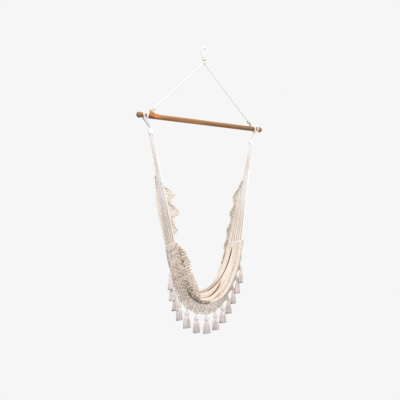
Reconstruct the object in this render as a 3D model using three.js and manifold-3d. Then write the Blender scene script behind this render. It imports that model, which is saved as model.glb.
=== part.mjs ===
// A hammock chair that hangs from one hook: rope sling, turned spreader bar,
// fanned harness cords, a gathered seat cloth with lace edges, and tassels.
// Millimetres, +Z up, +X along the bar, the sitter faces -Y.
// The origin is where the hook bears inside the rope loop.

import * as THREE from 'three';
import { mergeVertices } from 'three/addons/utils/BufferGeometryUtils.js';
import Module from 'manifold-3d';

const wasm = await Module();
wasm.setup();

const { Vector3 } = THREE;

// Clearances
const gap = 0.35;
const runningGap = 0.7;
const cutOverrun = 6;
const sliver = 0.1;

// Hanging rope
const ropeRadius = 5.5;
const loopHalfWidth = 24;
const loopLength = 62;
const throatLength = 21;
const throatRadius = 13;
const knotRadius = 13;
const apexHeight = 410;
const eyeSeizingLength = 18;
const eyeLength = 78;

// Spreader bar
const barHalfLength = 492;
const barRadius = 16;
const ballRadius = 19;
const neckRadius = 12;
const neckLength = 43;
const shoulderLength = 15;
const ropeEyeInset = 8;
const harnessEyeInset = 33;

// Leather tab and its tack
const tabLength = 72;
const tabThickness = 2.4;
const tabRise = 36;
const tabStandOff = 9;
const tabInset = 1;
const tackHeadRadius = 3.4;
const tackHeadHeight = 1.6;
const tackShankRadius = 1;
const tackSeat = 1.4;
const tackShankLength = 9;
const tackInset = 9;

// Harness
const harnessRadius = 5;
const whippingDrop = 77;
const whippingInset = 48;
const whippingLength = 34;
const whippingRadius = 15.5;
const cordRadius = 3.8;
const cordRowOffset = 4.2;
const cordSpread = 18;
const edgeCordOffset = 14;
const cordsPerSide = 6;
const hemRadius = 5;
const hemOverhang = 9;

// Seat cloth, its heights counted down from the bar's axis
const clothThickness = 6;
const foldDepth = 13;
const foldCount = 3;
const bellyDepth = 22;
const selvedgeRadius = 5;
const rearCornerX = 356;
const rearCornerY = 34;
const rearCornerDrop = 361;
const rearBackY = 74;
const rearDipY = 55;
const rearDipDrop = 1127;
const frontCornerX = 258;
const frontCornerY = -82;
const frontCornerDrop = 790;
const frontDipY = -46;
const frontDipDrop = 1197;

// Lace bands
const laceThickness = 5;
const frontLaceWidth = 76;
const frontFootX = 270;
const frontFootCornerY = -36;
const frontFootBackY = 0;
const frontScallopDepth = 7;
const rearLaceWidth = 104;
const rearFootBackY = 105;
const rearScallopPitch = 100;
const rearScallopDepth = 26;
const rearLaceBow = 16;

// Tassels
const tasselsPerSide = 6;
const hangingTassels = 2;
const tasselPitch = 75;
const tasselLength = 120;
const skirtRadius = 27;
const headRadius = 18;
const waistRadius = 13;
const stemRadius = 2.4;
const tasselEyeRadius = 3.4;
const tieHeight = 7;
const tieWall = 3;

// Shares of the sizes above, from the side corner to the middle of each edge
const rearXShares = [1, 0.95, 0.877, 0.795, 0.713, 0.64, 0.522, 0.331, 0.126, 0];
const rearDropShares = [0, 0.159, 0.313, 0.437, 0.58, 0.704, 0.821, 0.932, 0.991, 1];
const rearYShares = [0, 0.275, 0.6, 0.8, 0.95, 1, 0.9, 0.7, 0.55, 0.5];
const frontXShares = [1, 0.953, 0.86, 0.698, 0.504, 0.271, 0];
const frontDropShares = [0, 0.16, 0.43, 0.688, 0.867, 0.966, 1];
const frontYShares = [0, 0.06, 0.22, 0.44, 0.67, 0.89, 1];
const frontFootXShares = [0.96, 0.985, 1, 0.93, 0.83, 0.7, 0.515, 0.274, 0];
const frontFootDropShares = [0.05, 0.18, 0.356, 0.507, 0.65, 0.787, 0.9, 0.975, 1];
const frontFootYShares = [-0.8, -0.25, 0.055, 0.47, 0.74, 1, 0.61, 0.33, 0.2];
const rearFootXShares = [0.969, 0.635, 0.593, 0.598, 0.593, 0.562, 0.48, 0.317, 0.126, 0];
const rearFootDropShares = [0.017, 0.212, 0.346, 0.463, 0.607, 0.719, 0.83, 0.932, 0.985, 0.993];
const rearFootYShares = [-0.056, -0.634, -0.437, 0.169, 0.732, 0.972, 1, 0.9, 0.817, 0.803];
const tasselFlatShares = [0.62, 0.62, 0.6, 0.45, 0.36, 0.36, 0.4];
const tasselWideShares = [1, 1, 1, 0.93, 0.8, 0.78, 0.68];
const waistShare = 0.31;
const rearHemShare = 0.265;
const cordEndInset = 0.11;
const waistDrop = waistShare * tasselLength;

// Facets
const ropeSides = 8;
const threadSides = 6;
const turnedSides = 18;
const bindingSides = 10;
const tasselSides = 8;
const eyeSteps = 18;
const clothSteps = 20;
const clothWidthSteps = 13;
const laceStepsPerScallop = 3;
const laceWidthSteps = 2;

// Materials
function finish(color, roughness, metalness = 0) {
  return () => new THREE.MeshStandardMaterial({ color, roughness, metalness });
}

const whiteRope = finish(0xece8e1, 0.9);
const oiledWood = finish(0xb47c52, 0.55);
const tanLeather = finish(0xd9924f, 0.6);
const brass = finish(0xb08d4a, 0.35, 1);
const creamCloth = finish(0xf0e3d4, 0.95);
const laceThread = finish(0xe2d7ca, 0.95);
const tasselYarn = finish(0xe4dad6, 0.95);

// Solids from closed geometries
function signedVolume(geometry) {
  const p = geometry.getAttribute('position');
  const index = geometry.getIndex();
  const corners = [new Vector3(), new Vector3(), new Vector3()];
  let volume = 0;
  for (let i = 0; i < index.count; i += 3) {
    corners.forEach((corner, k) => corner.fromBufferAttribute(p, index.getX(i + k)));
    volume += corners[0].dot(corners[1].clone().cross(corners[2])) / 6;
  }
  return volume;
}

function closed(geometry) {
  const bare = geometry.clone();
  for (const name of Object.keys(bare.attributes)) {
    if (name !== 'position') bare.deleteAttribute(name);
  }
  const merged = mergeVertices(bare);
  if (signedVolume(merged) < 0) {
    const index = merged.getIndex();
    for (let i = 0; i < index.count; i += 3) {
      const first = index.getX(i);
      index.setX(i, index.getX(i + 1));
      index.setX(i + 1, first);
    }
  }
  return merged;
}

function toSolid(geometry) {
  const merged = closed(geometry);
  return new wasm.Manifold(new wasm.Mesh({
    numProp: 3,
    vertProperties: Float32Array.from(merged.getAttribute('position').array),
    triVerts: Uint32Array.from(merged.getIndex().array),
  }));
}

function toGeometry(solid) {
  const mesh = solid.getMesh();
  const count = mesh.vertProperties.length / mesh.numProp;
  const positions = new Float32Array(count * 3);
  for (let i = 0; i < count; i += 1) {
    for (let k = 0; k < 3; k += 1) {
      positions[i * 3 + k] = mesh.vertProperties[i * mesh.numProp + k];
    }
  }
  const geometry = new THREE.BufferGeometry();
  geometry.setAttribute('position', new THREE.BufferAttribute(positions, 3));
  geometry.setIndex(Array.from(mesh.triVerts));
  return geometry;
}

function join(...geometries) {
  return toGeometry(geometries.map(toSolid).reduce((whole, part) => whole.add(part)));
}

// Cuts tools out of a geometry, keeps the biggest piece where a cut parts it, and drops slivers
function cut(geometry, ...tools) {
  const rest = tools.map(toSolid).reduce((whole, tool) => whole.subtract(tool), toSolid(geometry));
  const pieces = rest.decompose();
  const biggest = pieces.reduce((best, piece) => (piece.volume() > best.volume() ? piece : best));
  return toGeometry(biggest.simplify(sliver));
}

// Shape helpers
function roundSection(radius, sides) {
  const points = [];
  for (let i = 0; i < sides; i += 1) {
    const angle = (i + 0.5) * 2 * Math.PI / sides;
    points.push(new THREE.Vector2(radius * Math.cos(angle), radius * Math.sin(angle)));
  }
  return new THREE.Shape(points);
}

function tubeAlong(path, radius, steps, sides = ropeSides) {
  return new THREE.ExtrudeGeometry(roundSection(radius, sides), {
    steps,
    bevelEnabled: false,
    extrudePath: path,
  });
}

function smoothPath(points) {
  return new THREE.CatmullRomCurve3(points, false, 'centripetal');
}

function straightTube(from, to, radius, sides = ropeSides) {
  return tubeAlong(new THREE.LineCurve3(from, to), radius, 1, sides);
}

function turned(profile, sides = turnedSides) {
  return new THREE.LatheGeometry(profile.map(([r, y]) => new THREE.Vector2(r, y)), sides);
}

function alongAxis(geometry, direction, centre) {
  const turn = new THREE.Quaternion().setFromUnitVectors(new Vector3(0, 1, 0), direction);
  geometry.applyQuaternion(turn);
  geometry.translate(centre.x, centre.y, centre.z);
  return geometry;
}

// A thick sheet over surface(u, v), with u and v running from 0 to 1
function thickSheet(surface, halfThickness, uSteps, vSteps) {
  const nudge = 1 / (8 * Math.max(uSteps, vSteps));
  const upper = [];
  const lower = [];
  for (let i = 0; i <= uSteps; i += 1) {
    for (let j = 0; j <= vSteps; j += 1) {
      const u = i / uSteps;
      const v = j / vSteps;
      const alongU = surface(Math.min(1, u + nudge), v).sub(surface(Math.max(0, u - nudge), v));
      const alongV = surface(u, Math.min(1, v + nudge)).sub(surface(u, Math.max(0, v - nudge)));
      const normal = alongU.cross(alongV).normalize();
      upper.push(surface(u, v).addScaledVector(normal, halfThickness));
      lower.push(surface(u, v).addScaledVector(normal, -halfThickness));
    }
  }
  const row = vSteps + 1;
  const under = upper.length;
  const at = (i, j) => i * row + j;
  const faces = [];
  const quad = (a, b, c, d) => faces.push(a, b, c, a, c, d);
  for (let i = 0; i < uSteps; i += 1) {
    for (let j = 0; j < vSteps; j += 1) {
      quad(at(i, j), at(i + 1, j), at(i + 1, j + 1), at(i, j + 1));
      quad(under + at(i, j + 1), under + at(i + 1, j + 1), under + at(i + 1, j), under + at(i, j));
    }
    quad(under + at(i, 0), under + at(i + 1, 0), at(i + 1, 0), at(i, 0));
    quad(at(i, vSteps), at(i + 1, vSteps), under + at(i + 1, vSteps), under + at(i, vSteps));
  }
  for (let j = 0; j < vSteps; j += 1) {
    quad(at(0, j), at(0, j + 1), under + at(0, j + 1), under + at(0, j));
    quad(under + at(uSteps, j), under + at(uSteps, j + 1), at(uSteps, j + 1), at(uSteps, j));
  }
  const geometry = new THREE.BufferGeometry();
  geometry.setFromPoints([...upper, ...lower]);
  geometry.setIndex(faces);
  return geometry;
}

// A wound binding: turns of thread side by side, as a ridged outline of radius and height
function woundProfile(radius, length, turns, ridge) {
  const profile = [];
  for (let i = 0; i < turns; i += 1) {
    const from = length / 2 - i * length / turns;
    const step = length / turns;
    profile.push([radius - ridge, from], [radius, from - step / 4], [radius, from - 3 * step / 4]);
  }
  profile.push([radius - ridge, -length / 2]);
  return profile;
}

function solidBinding(radius, length, turns, ridge) {
  return turned([[0, length / 2], ...woundProfile(radius, length, turns, ridge), [0, -length / 2]], bindingSides);
}

function hollowBinding(bore, radius, length, turns, ridge, sides) {
  const outside = woundProfile(radius, length, turns, ridge);
  return turned([[bore, length / 2], ...outside, [bore, -length / 2], [bore, length / 2]], sides);
}

// Places that several pieces share
const apexDrop = loopLength + gap + throatLength + gap + knotRadius;
const barZ = -apexHeight;
const neckOuter = barHalfLength - ballRadius - Math.sqrt(ballRadius ** 2 - neckRadius ** 2);
const neckInner = neckOuter - neckLength;
const ropeEyeX = neckInner + ropeEyeInset;
const harnessEyeX = neckInner + harnessEyeInset;

const chair = new THREE.Group();
const underKnot = new THREE.Group();
underKnot.position.z = -apexDrop;
chair.add(underKnot);

function place(parent, name, geometry, material) {
  const mesh = new THREE.Mesh(closed(geometry), material());
  mesh.name = name;
  parent.add(mesh);
  return mesh;
}

const sides = [['left', -1], ['right', 1]];

// Hanging loop, closed by the throat seizing
function hangingLoop() {
  const strand = ropeRadius + gap / 2;
  const half = [
    new Vector3(strand, 0, -loopLength),
    new Vector3(strand, 0, -0.9 * loopLength),
    new Vector3(0.72 * loopHalfWidth, 0, -0.62 * loopLength),
    new Vector3(loopHalfWidth, 0, -0.28 * loopLength),
    new Vector3(0.72 * loopHalfWidth, 0, -0.02 * loopLength),
  ];
  const mirrored = half.map((p) => new Vector3(-p.x, p.y, p.z));
  return tubeAlong(smoothPath([...half, new Vector3(0, 0, ropeRadius), ...mirrored.reverse()]), ropeRadius, 24);
}

function throatSeizing() {
  const geometry = solidBinding(throatRadius, throatLength, 3, throatRadius / 12);
  geometry.rotateX(Math.PI / 2);
  geometry.translate(0, 0, -loopLength - gap - throatLength / 2);
  return geometry;
}

// The knot where the two legs part, round so that it turns under the throat seizing
function ropeKnot() {
  const profile = [];
  const rings = 10;
  for (let i = 0; i <= rings; i += 1) {
    const angle = Math.PI * i / rings;
    const ridge = i % 2 && i > 2 && i < rings - 2 ? 0.94 : 1;
    profile.push([ridge * knotRadius * Math.sin(angle), knotRadius * Math.cos(angle)]);
  }
  profile[0][0] = 0;
  profile[rings][0] = 0;
  const geometry = turned(profile, bindingSides);
  geometry.rotateX(Math.PI / 2);
  return geometry;
}

// A doubled rope that leaves its seizing straight, then passes round the neck of the bar
function eyePath(side, x, radius, from, along, straight, farSide) {
  const turnRadius = neckRadius + runningGap + radius;
  const neck = new Vector3(side * x, 0, barZ);
  const clear = from.clone().addScaledVector(along, straight);
  const route = [[from, radius], [clear, radius], [clear.clone().lerp(neck, 0.5), 0.6 * (radius + turnRadius)]];
  for (const angle of [-0.1, 0.3, 0.7, 1.1]) {
    const rise = new Vector3(0, 0, farSide * turnRadius * Math.sin(angle));
    route.push([neck.clone().add(rise), turnRadius * Math.cos(angle)]);
  }
  const half = route.map(([point, spread]) => point.clone().add(new Vector3(0, spread, 0)));
  const other = route.map(([point, spread]) => point.clone().add(new Vector3(0, -spread, 0)));
  const far = neck.clone().add(new Vector3(0, 0, farSide * turnRadius));
  return smoothPath([...half, far, ...other.reverse()]);
}

function legLine(side) {
  const neck = new Vector3(side * ropeEyeX, 0, barZ);
  const down = neck.clone().normalize();
  return { neck, down, splice: neck.clone().addScaledVector(down, -eyeLength) };
}

function ropeLeg(side) {
  const { down, splice } = legLine(side);
  const leg = straightTube(down.clone(), splice.clone().addScaledVector(down, ropeRadius), ropeRadius);
  const straight = eyeSeizingLength + ropeRadius;
  const route = eyePath(side, ropeEyeX, ropeRadius * 0.98, splice, down, straight, -1);
  const seat = new THREE.SphereGeometry(knotRadius + gap, turnedSides, turnedSides / 2);
  return cut(join(leg, tubeAlong(route, ropeRadius, eyeSteps)), seat);
}

function eyeSeizing(side) {
  const { down, splice } = legLine(side);
  const bore = 2 * ropeRadius + 2 * gap;
  const wall = bore / 4;
  const geometry = hollowBinding(bore, bore + wall, eyeSeizingLength, 3, wall / 3, bindingSides);
  geometry.scale(0.62, 1, 1);
  const widthways = new THREE.Matrix4().makeBasis(
    new Vector3(0, 1, 0).cross(down).negate(),
    down.clone().negate(),
    new Vector3(0, 1, 0),
  );
  geometry.applyMatrix4(widthways);
  const centre = splice.clone().addScaledVector(down, ropeRadius / 2 + eyeSeizingLength / 2);
  geometry.translate(centre.x, centre.y, centre.z);
  return geometry;
}

// Spreader bar: a dowel with a neck and a ball turned at each end
function tackPlace() {
  const x = -(neckInner - tabInset - tabLength + tackInset);
  const angle = 1.15;
  return {
    foot: new Vector3(x, 0, barZ),
    outward: new Vector3(0, -Math.cos(angle), Math.sin(angle)),
  };
}

function tackHole() {
  const { foot, outward } = tackPlace();
  const reach = barRadius + tabThickness + cutOverrun;
  const start = barRadius - tackShankLength - gap;
  return straightTube(
    foot.clone().addScaledVector(outward, start),
    foot.clone().addScaledVector(outward, reach),
    tackShankRadius + 2 * gap,
  );
}

function spreaderBar() {
  const profile = [];
  const ballCentre = barHalfLength - ballRadius;
  const neckAngle = Math.PI - Math.asin(neckRadius / ballRadius);
  const arcSteps = 7;
  for (let i = 0; i <= arcSteps; i += 1) {
    const angle = neckAngle * i / arcSteps;
    profile.push([ballRadius * Math.sin(angle), ballCentre + ballRadius * Math.cos(angle)]);
  }
  profile.push([neckRadius, neckInner]);
  profile.push([(neckRadius + 2 * barRadius) / 3, neckInner - shoulderLength / 4]);
  profile.push([barRadius, neckInner - shoulderLength]);
  const other = profile.map(([r, y]) => [r, -y]).reverse();
  const geometry = turned([...profile, ...other]);
  geometry.rotateZ(-Math.PI / 2);
  geometry.translate(0, 0, barZ);
  return cut(geometry, tackHole());
}

// Leather tab: wrapped over the bar at its inner end, standing up flat beside the rope at its outer end
function leatherTab() {
  const lowerAngle = -0.7;
  const upperAngle = 1.75;
  const outerEnd = -(neckInner - tabInset);
  const radius = barRadius + gap + tabThickness / 2;
  const surface = (u, v) => {
    const angle = lowerAngle + (upperAngle - lowerAngle) * v;
    const wrapped = new Vector3(0, -radius * Math.cos(angle), barZ + radius * Math.sin(angle));
    const flat = new Vector3(0, -radius - tabStandOff, barZ - tabThickness + tabRise * v);
    const point = wrapped.lerp(flat, Math.max(0, 1 - 1.5 * u) ** 0.7);
    const lift = Math.max(1, radius / Math.hypot(point.y, point.z - barZ));
    return new Vector3(outerEnd + u * tabLength, point.y * lift, barZ + (point.z - barZ) * lift);
  };
  return cut(thickSheet(surface, tabThickness / 2, 9, 10), tackHole());
}

function tabTack() {
  const { foot, outward } = tackPlace();
  const headSeat = barRadius + tabThickness + tackSeat;
  const geometry = turned([
    [0, headSeat + tackHeadHeight],
    [0.7 * tackHeadRadius, headSeat + 0.75 * tackHeadHeight],
    [tackHeadRadius, headSeat],
    [tackShankRadius, headSeat],
    [tackShankRadius, barRadius - 0.7 * tackShankLength],
    [0, barRadius - tackShankLength],
  ], 10);
  return alongAxis(geometry, outward, foot);
}

// Edge curves of the cloth and the feet of the lace bands
function wholeCurve(rightHalf) {
  const left = rightHalf.map((p) => new Vector3(-p.x, p.y, p.z));
  return smoothPath([...left, ...rightHalf.slice(0, -1).reverse()]);
}

function edgeCurve(xShares, yShares, dropShares, x, cornerY, farY, cornerDrop, dipDrop) {
  return wholeCurve(xShares.map((xShare, i) => new Vector3(
    x * xShare,
    cornerY + (farY - cornerY) * yShares[i],
    barZ - cornerDrop - (dipDrop - cornerDrop) * dropShares[i],
  )));
}

const rearEdge = edgeCurve(rearXShares, rearYShares, rearDropShares,
  rearCornerX, rearCornerY, rearBackY, rearCornerDrop, rearDipDrop);
const frontEdge = edgeCurve(frontXShares, frontYShares, frontDropShares,
  frontCornerX, frontCornerY, frontDipY, frontCornerDrop, frontDipDrop);
const frontFoot = edgeCurve(frontFootXShares, frontFootYShares, frontFootDropShares,
  frontFootX, frontFootCornerY, frontFootBackY, frontCornerDrop, frontDipDrop + frontLaceWidth);
const rearFoot = edgeCurve(rearFootXShares, rearFootYShares, rearFootDropShares,
  rearCornerX, rearCornerY, rearFootBackY, rearCornerDrop, rearDipDrop + rearLaceWidth);

// The hem runs across, from a point part of the way down the rear edge to the front corner
function hemCurve(side, overhang) {
  const rear = rearEdge.getPointAt(side < 0 ? rearHemShare : 1 - rearHemShare);
  const front = new Vector3(side * frontCornerX, frontCornerY, barZ - frontCornerDrop);
  const along = front.clone().sub(rear).normalize();
  const middle = rear.clone().lerp(front, 0.5).add(new Vector3(side * hemRadius, 0, 0));
  return smoothPath([
    rear.clone().addScaledVector(along, -overhang), rear, middle, front,
    front.clone().addScaledVector(along, overhang),
  ]);
}

function sideHem(side, grow = 0) {
  return tubeAlong(hemCurve(side, hemOverhang + grow), hemRadius + grow, 12);
}

const selvedgeSteps = 24;

// The rear selvedge runs on above the hems as an edge cord, up to the harness whippings
const edgeCordSteps = 30;
const edgeCord = smoothPath([edgeCordStart(-1), ...rearEdge.points, edgeCordStart(1)]);

function edgeCordStart(side) {
  const { top, down, across } = harness(side);
  return top.addScaledVector(down, whippingLength + 2 * gap).addScaledVector(across, edgeCordOffset);
}

function rearSelvedge(grow = 0) {
  return tubeAlong(edgeCord, selvedgeRadius + grow, edgeCordSteps);
}

function frontSelvedge(grow = 0) {
  return tubeAlong(frontEdge, selvedgeRadius + grow, selvedgeSteps);
}

const fatHems = () => sides.map(([, side]) => sideHem(side, gap));

// Harness: an eye over the neck, its whipping, and the cords that fan out to the hem
function harness(side) {
  const top = new Vector3(side * (harnessEyeX - whippingInset), 0, barZ - whippingDrop);
  const hemMiddle = hemCurve(side, 0).getPointAt(0.5);
  const down = hemMiddle.sub(top).normalize();
  const across = new Vector3(0, 1, 0).addScaledVector(down, -down.y).normalize();
  return { top, down, across, sideways: across.clone().cross(down) };
}

function harnessEye(side) {
  const { top, down } = harness(side);
  const up = down.clone().negate();
  const end = top.clone().addScaledVector(up, gap);
  return tubeAlong(eyePath(side, harnessEyeX, harnessRadius, end, up, harnessRadius, 1), harnessRadius, eyeSteps);
}

function harnessWhipping(side) {
  const { top, down } = harness(side);
  const centre = top.clone().addScaledVector(down, whippingLength / 2);
  const geometry = solidBinding(whippingRadius, whippingLength, 4, whippingRadius / 14);
  return alongAxis(geometry, down.clone().negate(), centre);
}

function harnessCord(side, i, grow = 0) {
  const { top, down, across, sideways } = harness(side);
  const share = i / (cordsPerSide - 1);
  const row = i % 2 ? -cordRowOffset : cordRowOffset;
  const foot = top.clone().addScaledVector(down, whippingLength);
  const start = foot.clone()
    .addScaledVector(across, cordSpread * (0.25 - share))
    .addScaledVector(sideways, row);
  const end = hemCurve(side, 0).getPointAt(cordEndInset + (1 - 2 * cordEndInset) * share);
  const along = end.clone().sub(start).normalize();
  const cord = straightTube(start.addScaledVector(along, -cutOverrun), end, cordRadius + grow);
  const binding = straightTube(top, foot.addScaledVector(down, gap), whippingRadius + cutOverrun, turnedSides);
  return cut(cord, binding, sideHem(side, gap), rearSelvedge(gap));
}

// Seat cloth: three long folds that follow the U and flatten out at the hems
function clothSurface(u, v) {
  const rearU = rearHemShare + (1 - 2 * rearHemShare) * u;
  const rear = rearEdge.getPointAt(rearU);
  const front = frontEdge.getPointAt(u);
  const across = front.clone().sub(rear);
  const along = rearEdge.getTangentAt(rearU).add(frontEdge.getTangentAt(u));
  const outward = along.cross(across).normalize();
  const gather = Math.sin(Math.PI * u) ** 0.8;
  const roll = foldDepth * Math.sin(2 * Math.PI * foldCount * v);
  const belly = bellyDepth * Math.sin(Math.PI * v);
  return rear.addScaledVector(across, v).addScaledVector(outward, gather * (roll + belly));
}

function clothSheet(grow) {
  return thickSheet(clothSurface, clothThickness / 2 + grow, clothSteps, clothWidthSteps);
}

function seatCloth() {
  return cut(clothSheet(0), rearSelvedge(gap), frontSelvedge(gap), ...fatHems());
}

// Lace bands: from the selvedge to a scalloped foot, one scallop to each pitch
function laceBand(edge, foot, pitch, depth, bow, selvedge, grow = 0) {
  const length = foot.getLength();
  const width = edge.getPointAt(0.5).distanceTo(foot.getPointAt(0.5));
  const surface = (u, v) => {
    const scallop = Math.sin(Math.PI * (u - 0.5) * length / pitch) ** 2;
    const reach = v * (1 - scallop * depth / width + grow / width);
    const point = edge.getPointAt(u).lerp(foot.getPointAt(u), reach);
    point.y += bow * Math.sin(Math.PI * v);
    return point;
  };
  const whole = Math.floor(length / (2 * pitch));
  const span = whole * pitch / length;
  const inner = (u, v) => surface(0.5 + span * (2 * u - 1), v);
  const band = thickSheet(inner, laceThickness / 2 + grow, 2 * whole * laceStepsPerScallop, laceWidthSteps);
  return selvedge ? cut(band, selvedge, clothSheet(2 * gap), ...fatHems()) : band;
}

function frontLace() {
  return laceBand(frontEdge, frontFoot, tasselPitch, frontScallopDepth, 0, frontSelvedge(gap));
}

function rearLace() {
  const band = laceBand(rearEdge, rearFoot, rearScallopPitch, rearScallopDepth, rearLaceBow, rearSelvedge(gap));
  return cut(band, ...sides.flatMap(([, side]) => [harnessCord(side, 0, gap), harnessCord(side, 1, gap)]));
}

// Tassels: the middle ones hang below the foot of the lace, the side ones lie against its front
function tasselPlace(rank) {
  const distance = Math.abs(rank);
  const share = 0.5 + rank * tasselPitch / frontFoot.getLength();
  const centre = frontFoot.getPointAt(share);
  const along = frontFoot.getTangentAt(share);
  const away = centre.clone().sub(frontEdge.getPointAt(share));
  away.addScaledVector(along, -away.dot(along)).normalize();
  const front = away.clone().cross(along);
  if (front.y > 0) front.negate();
  if (distance <= hangingTassels) centre.addScaledVector(away, tasselEyeRadius + gap);
  else centre.addScaledVector(front, laceThickness / 2 + tasselEyeRadius + gap);
  return { centre, wide: tasselWideShares[distance], flat: tasselFlatShares[distance] };
}

// An eye on a short stem, a head, a tied waist and a skirt, pressed flat towards the sides
function tasselBody(rank) {
  const { centre, wide, flat } = tasselPlace(rank);
  const skirtTop = waistDrop + tieHeight / 2;
  const bundle = turned([
    [0, -0.3 * waistDrop],
    [0.62 * headRadius, -0.32 * waistDrop],
    [headRadius, -0.52 * waistDrop],
    [headRadius, -0.72 * waistDrop],
    [waistRadius, -waistDrop + tieHeight / 2],
    [waistRadius, -skirtTop],
    [0.78 * skirtRadius, -skirtTop - 0.09 * tasselLength],
    [skirtRadius, -0.97 * tasselLength],
    [0.9 * skirtRadius, -tasselLength],
    [0, -0.985 * tasselLength],
  ], tasselSides);
  bundle.rotateX(Math.PI / 2);
  bundle.scale(wide, flat * wide, 1);
  const stem = straightTube(new Vector3(), new Vector3(0, 0, -0.5 * waistDrop), stemRadius, threadSides);
  const eye = new THREE.SphereGeometry(tasselEyeRadius, threadSides, threadSides / 2);
  const body = join(bundle, stem, eye);
  body.translate(centre.x, centre.y, centre.z);
  return cut(body, laceBand(frontEdge, frontFoot, tasselPitch, frontScallopDepth, 0, null, gap));
}

function tasselTie(rank) {
  const { centre, wide, flat } = tasselPlace(rank);
  const bore = waistRadius + gap / (flat * wide);
  const geometry = turned([
    [bore, tieHeight / 2 - gap],
    [bore + tieWall, tieHeight / 4],
    [bore + tieWall, -tieHeight / 4],
    [bore, -tieHeight / 2 + gap],
    [bore, tieHeight / 2 - gap],
  ], tasselSides);
  geometry.rotateX(Math.PI / 2);
  geometry.scale(wide, flat * wide, 1);
  geometry.translate(centre.x, centre.y, centre.z - waistDrop);
  return geometry;
}

// Assembly
place(chair, 'hanging_loop', hangingLoop(), whiteRope);
place(chair, 'throat_seizing', throatSeizing(), whiteRope);
place(underKnot, 'rope_knot', ropeKnot(), whiteRope);
place(underKnot, 'spreader_bar', spreaderBar(), oiledWood);
place(underKnot, 'leather_tab', leatherTab(), tanLeather);
place(underKnot, 'tab_tack', tabTack(), brass);

for (const [word, side] of sides) {
  place(underKnot, `rope_leg_${word}`, ropeLeg(side), whiteRope);
  place(underKnot, `eye_seizing_${word}`, eyeSeizing(side), whiteRope);
  place(underKnot, `harness_eye_${word}`, harnessEye(side), whiteRope);
  place(underKnot, `harness_whipping_${word}`, harnessWhipping(side), whiteRope);
  for (let i = 0; i < cordsPerSide; i += 1) {
    place(underKnot, `harness_cord_${word}_${i + 1}`, harnessCord(side, i), whiteRope);
  }
  place(underKnot, `side_hem_${word}`, cut(sideHem(side), rearSelvedge(gap)), creamCloth);
}

place(underKnot, 'seat_cloth', seatCloth(), creamCloth);
place(underKnot, 'rear_selvedge', rearSelvedge(), creamCloth);
place(underKnot, 'front_selvedge', cut(frontSelvedge(), ...fatHems()), creamCloth);
place(underKnot, 'rear_lace', rearLace(), laceThread);
place(underKnot, 'front_lace', frontLace(), laceThread);

for (let rank = -tasselsPerSide; rank <= tasselsPerSide; rank += 1) {
  const number = String(rank + tasselsPerSide + 1).padStart(2, '0');
  place(underKnot, `tassel_${number}`, tasselBody(rank), tasselYarn);
  place(underKnot, `tassel_tie_${number}`, tasselTie(rank), tasselYarn);
}

export default chair;
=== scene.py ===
import math

import bpy
import numpy as np
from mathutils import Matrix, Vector
from numpy.linalg import norm


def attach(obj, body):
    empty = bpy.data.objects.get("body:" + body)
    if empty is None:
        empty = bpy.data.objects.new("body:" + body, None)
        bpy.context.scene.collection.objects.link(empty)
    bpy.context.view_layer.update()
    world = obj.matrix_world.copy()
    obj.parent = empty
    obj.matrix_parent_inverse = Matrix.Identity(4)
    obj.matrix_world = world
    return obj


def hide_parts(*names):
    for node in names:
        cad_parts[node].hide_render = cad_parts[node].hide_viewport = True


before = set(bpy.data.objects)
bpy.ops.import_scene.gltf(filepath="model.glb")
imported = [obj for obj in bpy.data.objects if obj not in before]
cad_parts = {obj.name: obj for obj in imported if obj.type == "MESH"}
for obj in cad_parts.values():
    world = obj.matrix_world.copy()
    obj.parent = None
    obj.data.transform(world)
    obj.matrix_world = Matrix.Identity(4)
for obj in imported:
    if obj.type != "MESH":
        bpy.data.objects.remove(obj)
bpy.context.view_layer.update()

# Sizes shared with part.mjs, in metres
GAP = 0.00035
RUNNING_GAP = 0.0007
ROPE_R = 0.0055
LOOP_HALF = 0.024
LOOP_LEN = 0.062
THROAT_LEN = 0.021
THROAT_R = 0.013
KNOT_R = 0.013
KNOT_Z = -(LOOP_LEN + GAP + THROAT_LEN + GAP + KNOT_R)
APEX = 0.410
BAR_Z = KNOT_Z - APEX
EYE_SEIZING = 0.018
EYE_LEN = 0.078
BAR_HALF = 0.492
BAR_R = 0.016
BALL_R = 0.019
NECK_R = 0.012
NECK_LEN = 0.043
NECK_OUT = BAR_HALF - BALL_R - math.sqrt(BALL_R**2 - NECK_R**2)
NECK_IN = NECK_OUT - NECK_LEN
SHOULDER = 0.015
ROPE_EYE_X = NECK_IN + 0.008
HARNESS_EYE_X = NECK_IN + 0.033
HARNESS_R = 0.005
WHIP_DROP = 0.077
WHIP_INSET = 0.048
WHIP_LEN = 0.034
WHIP_R = 0.0155
HEM_R = 0.005
HEM_OVERHANG = 0.009
TAB_LEN = 0.072
TAB_THICK = 0.0024
TAB_RISE = 0.036
TAB_OFF = 0.009
TAB_INSET = 0.001
TASSEL_PITCH = 0.075
TASSEL_LEN = 0.120
WAIST_DROP = 0.31 * TASSEL_LEN
TASSEL_EYE_R = 0.0034
LACE_THICK = 0.005
CAD_CORDS = 6
REAR_X = 0.356
REAR_Y = 0.034
REAR_DROP = 0.361
FRONT_X = 0.258
FRONT_Y = -0.082
FRONT_DROP = 0.790
REAR_HEM_SHARE = 0.265

SIDES = (("left", -1), ("right", 1))
UP = (0, 0, 1)
TURN = 2 * math.pi

scene = bpy.context.scene
rng = np.random.default_rng(7)


# Geometry helpers
def vec(*xyz):
    return np.array(xyz, float)


def unit(v):
    return v / norm(v)


def units(v):
    return v / norm(v, axis=-1, keepdims=True)


def ease(x):
    """Rises smoothly from 0 to 1 while x does."""
    x = np.clip(x, 0, 1)
    return x * x * (3 - 2 * x)


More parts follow.
